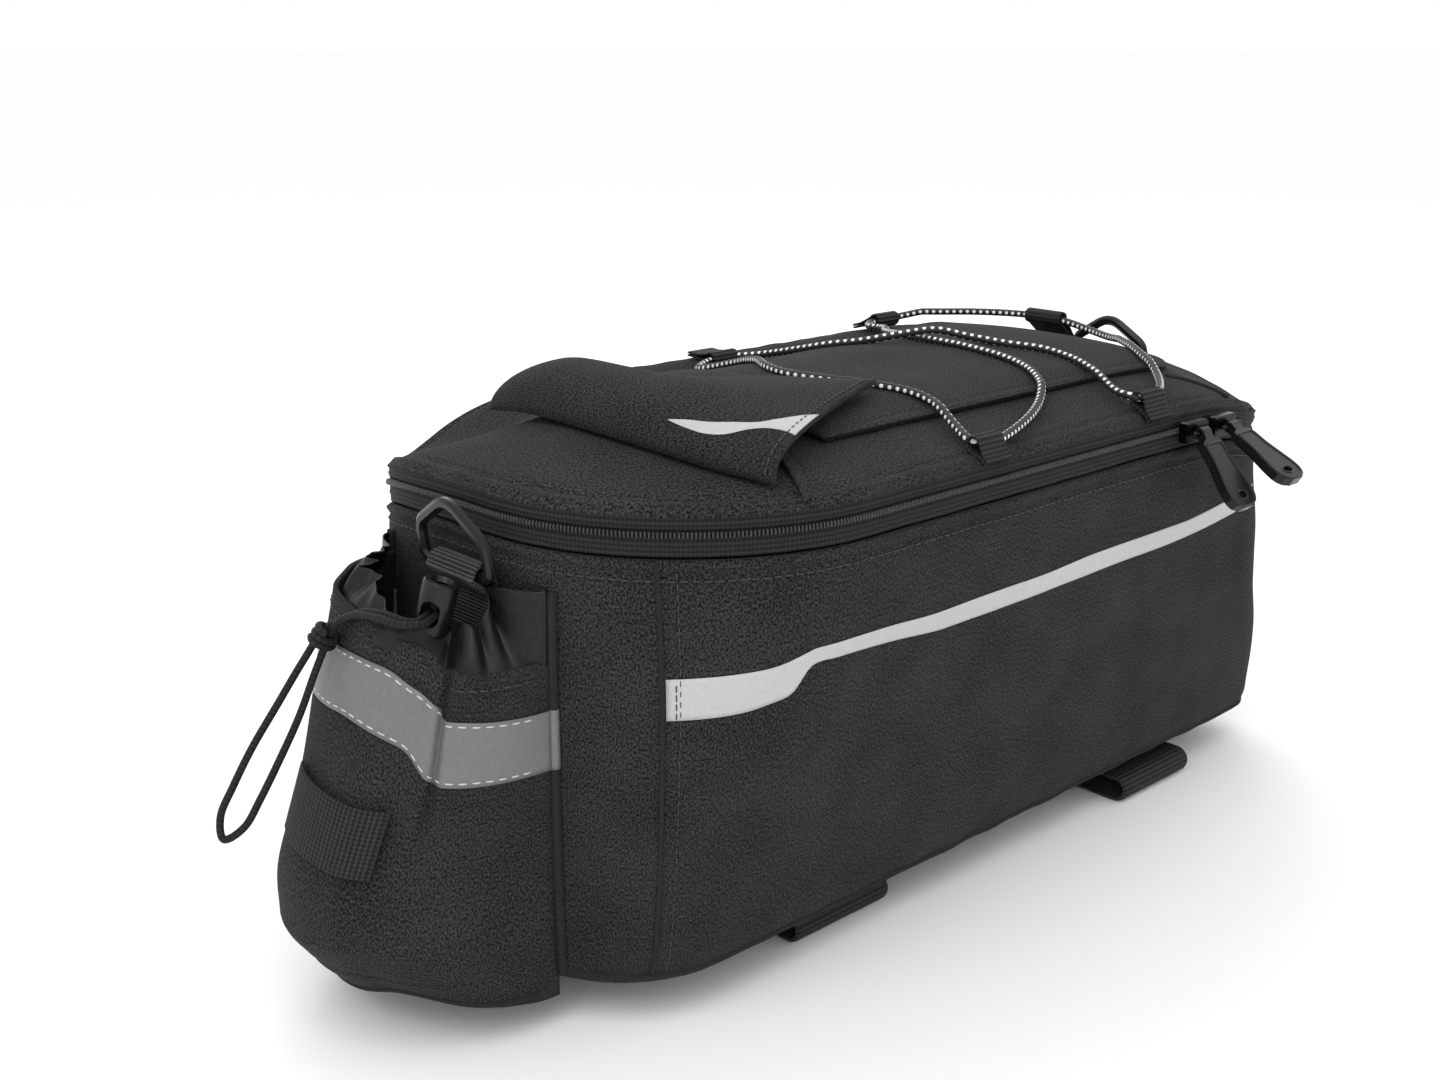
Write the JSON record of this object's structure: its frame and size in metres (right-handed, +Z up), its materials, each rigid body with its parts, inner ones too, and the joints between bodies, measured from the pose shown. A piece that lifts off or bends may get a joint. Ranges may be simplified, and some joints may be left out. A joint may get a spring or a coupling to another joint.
{
  "type": "bicycle trunk bag",
  "caption": "Soft rack-top bag with a zipped lid, a bottle pocket with a gathered collar, a cord net on the lid, carrying rings and base strap loops.",
  "frame": {"origin": "middle of the bounding box without the free draw cord, at the height of the lowest face, under the base straps", "axes": "+Z up, +X from the bottle pocket's end to the plain end, +Y towards the side away from the zip pulls"},
  "size_m": [0.4845, 0.2496, 0.2111],
  "materials": {
    "fabric": "matt woven canvas",
    "nylon": "thin shiny nylon",
    "webbing": "ribbed webbing",
    "plastic": "moulded, satin to glossy",
    "metal": "glossy black coat",
    "cord": "braided cord"
  },
  "bodies": {
    "bag": {"body_shell": "fabric", "lid_shell": "fabric", "top_pocket": "fabric", "top_flap": "fabric", "bottle_pocket": "fabric", "pocket_collar": "nylon", "zip_tape": "webbing", "light_tab": "webbing", "net_loop_near_1": "webbing", "net_loop_near_2": "webbing", "net_loop_far_1": "webbing", "net_loop_far_2": "webbing", "net_loop_end": "webbing", "base_strap_near": "webbing", "base_strap_far": "webbing", "ring_tab_near": "webbing", "ring_tab_far": "webbing", "zip_coil": "plastic", "net_cord": "cord", "draw_cord": "cord", "cord_knot": "cord", "zip_slider_1": "metal", "zip_slider_2": "metal", "lock_barrel": "plastic"},
    "near_ring": {"ring_near": "plastic"},
    "far_ring": {"ring_far": "plastic"},
    "pull_one": {"zip_pull_1": "plastic"},
    "pull_two": {"zip_pull_2": "plastic"},
    "button": {"lock_button": "plastic"}
  },
  "joints": [
    {"name": "near_ring_swing", "type": "hinge", "parent": "bag", "child": "near_ring", "pos_m": [-0.17159, 0.00708, 0.1555], "axis": [0, -1, 0], "range_deg": [-11, 35]},
    {"name": "far_ring_swing", "type": "hinge", "parent": "bag", "child": "far_ring", "pos_m": [0.19641, 0.01208, 0.1729], "axis": [0, 1, 0], "range_deg": [0, 140]},
    {"name": "pull_one_swing", "type": "hinge", "parent": "bag", "child": "pull_one", "pos_m": [0.10321, -0.09492, 0.17428], "axis": [-1, 0, 0], "range_deg": [-34, 90]},
    {"name": "pull_two_swing", "type": "hinge", "parent": "bag", "child": "pull_two", "pos_m": [0.1242, -0.09492, 0.17351], "axis": [-1, 0, 0], "range_deg": [-54, 75]},
    {"name": "button_press", "type": "slide", "parent": "bag", "child": "button", "axis": [0.1951, -0.1801, 0.9641], "range_m": [0, 0.0034], "stiffness_N_per_m": 300}
  ]
}
